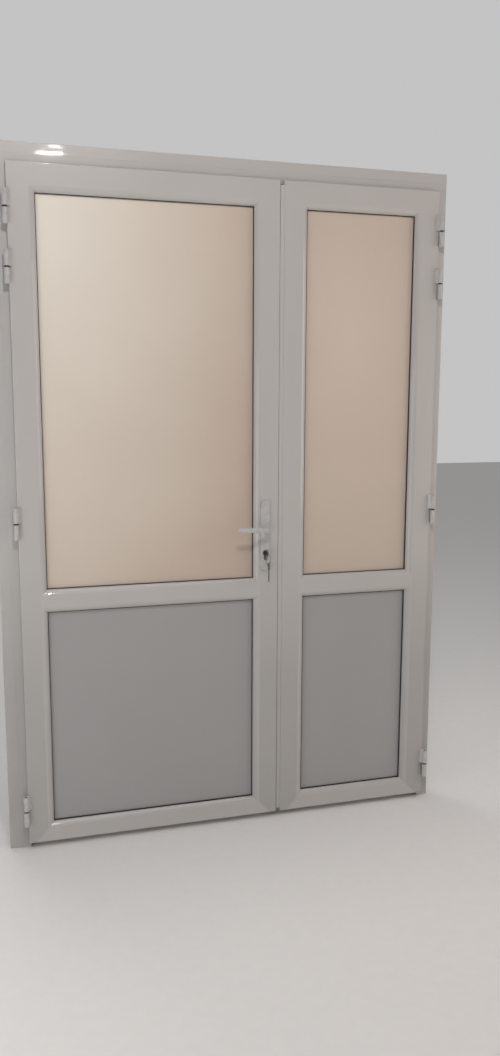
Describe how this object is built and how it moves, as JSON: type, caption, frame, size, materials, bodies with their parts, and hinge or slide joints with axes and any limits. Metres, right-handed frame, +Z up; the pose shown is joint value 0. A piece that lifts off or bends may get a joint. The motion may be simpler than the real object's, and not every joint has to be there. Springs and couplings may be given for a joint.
{
  "type": "glass entrance door",
  "caption": "Glazed entrance door in its frame: a wide leaf with lever handle and key lock beside a narrow leaf with flush bolts, clouded glass above and plain panels below.",
  "frame": {"origin": "on the floor, midway across the frame's whole width, at the middle of the leaves' thickness", "axes": "+X to the right as seen from the room with the hinges, +Y through the door to the outside, +Z up"},
  "size_m": [1.455, 0.1702, 2.14],
  "materials": {
    "white_plastic": "satin gloss",
    "white_metal": "smooth powder coat",
    "inner_steel": "zinc coated",
    "black_rubber": "matt",
    "clouded_glass": "smooth outside, clouded",
    "clear_glass": "clear",
    "spacer": "mill",
    "board": "smooth satin",
    "packer": "moulded",
    "bush": "moulded",
    "lock_steel": "brushed",
    "nickel": "nickel plated",
    "brass": "machined"
  },
  "bodies": {
    "frame": {"frame_left_jamb": "white_plastic", "frame_right_jamb": "white_plastic", "frame_head": "white_plastic", "frame_steel": "inner_steel", "frame_seal": "black_rubber", "frame_hinge_halves": "white_metal", "hinge_pins": "lock_steel", "hinge_bushes": "bush", "head_keep": "lock_steel"},
    "main_leaf": {"main_hinge_stile": "white_plastic", "main_lock_stile": "white_plastic", "main_top_rail": "white_plastic", "main_mid_rail": "white_plastic", "main_bottom_rail": "white_plastic", "main_steel": "inner_steel", "main_beads": "white_plastic", "main_glazing_gaskets": "black_rubber", "main_glass_front": "clouded_glass", "main_glass_back": "clear_glass", "main_glass_spacer": "spacer", "main_panel": "board", "main_packers": "packer", "main_lip_seal": "black_rubber", "main_hinge_halves": "white_metal", "lock_case": "inner_steel", "lock_faceplate": "lock_steel", "lock_cylinder": "nickel", "inside_plate": "white_metal", "outside_plate": "white_metal", "plate_screws": "lock_steel"},
    "second_leaf": {"second_hinge_stile": "white_plastic", "second_meeting_stile": "white_plastic", "second_top_rail": "white_plastic", "second_mid_rail": "white_plastic", "second_bottom_rail": "white_plastic", "second_steel": "inner_steel", "second_beads": "white_plastic", "second_glazing_gaskets": "black_rubber", "second_glass_front": "clouded_glass", "second_glass_back": "clear_glass", "second_glass_spacer": "spacer", "second_panel": "board", "second_packers": "packer", "second_lip_seal": "black_rubber", "second_hinge_halves": "white_metal", "astragal": "white_plastic", "lock_strike": "lock_steel", "flush_bolt_plates": "lock_steel"},
    "lever": {"inside_lever": "white_metal", "outside_lever": "white_metal", "spindle": "inner_steel", "follower": "inner_steel"},
    "latch": {"latch_bolt": "lock_steel"},
    "key_set": {"cylinder_plug": "brass", "key": "nickel", "key_ring": "nickel", "spare_key": "nickel"},
    "dead_bolt": {"dead_bolt": "lock_steel"},
    "top_flush_bolt": {"top_flush_bolt": "lock_steel"},
    "bottom_flush_bolt": {"bottom_flush_bolt": "lock_steel"}
  },
  "joints": [
    {"name": "main_leaf_swing", "type": "hinge", "parent": "frame", "child": "main_leaf", "pos_m": [-0.6745, -0.04, 0], "axis": [0, 0, -1], "range_deg": [0, 100]},
    {"name": "second_leaf_swing", "type": "hinge", "parent": "frame", "child": "second_leaf", "pos_m": [0.7005, -0.04, 0], "axis": [0, 0, 1], "range_deg": [0, 100]},
    {"name": "lever_turn", "type": "hinge", "parent": "main_leaf", "child": "lever", "pos_m": [0.1055, 0, 1], "axis": [0, -1, 0], "range_deg": [0, 35], "stiffness_Nm_per_rad": 1.2, "springref_deg": -28.65},
    {"name": "latch_slide", "type": "slide", "parent": "main_leaf", "child": "latch", "axis": [-1, 0, 0], "range_m": [0, 0.009]},
    {"name": "key_turn", "type": "hinge", "parent": "main_leaf", "child": "key_set", "pos_m": [0.1055, 0, 0.92], "axis": [0, -1, 0], "range_deg": [0, 120]},
    {"name": "dead_bolt_slide", "type": "slide", "parent": "main_leaf", "child": "dead_bolt", "axis": [1, 0, 0], "range_m": [0, 0.02]},
    {"name": "top_bolt_slide", "type": "slide", "parent": "second_leaf", "child": "top_flush_bolt", "axis": [0, 0, 1], "range_m": [0, 0.02]},
    {"name": "bottom_bolt_slide", "type": "slide", "parent": "second_leaf", "child": "bottom_flush_bolt", "axis": [0, 0, -1], "range_m": [0, 0.032]}
  ],
  "couplings": [
    {"joint": "second_leaf_swing", "follows": "main_leaf_swing", "ratio": 1},
    {"joint": "latch_slide", "follows": "lever_turn", "m_per_rad": 0.01473},
    {"joint": "dead_bolt_slide", "follows": "key_turn", "m_per_rad": 0.00954}
  ]
}
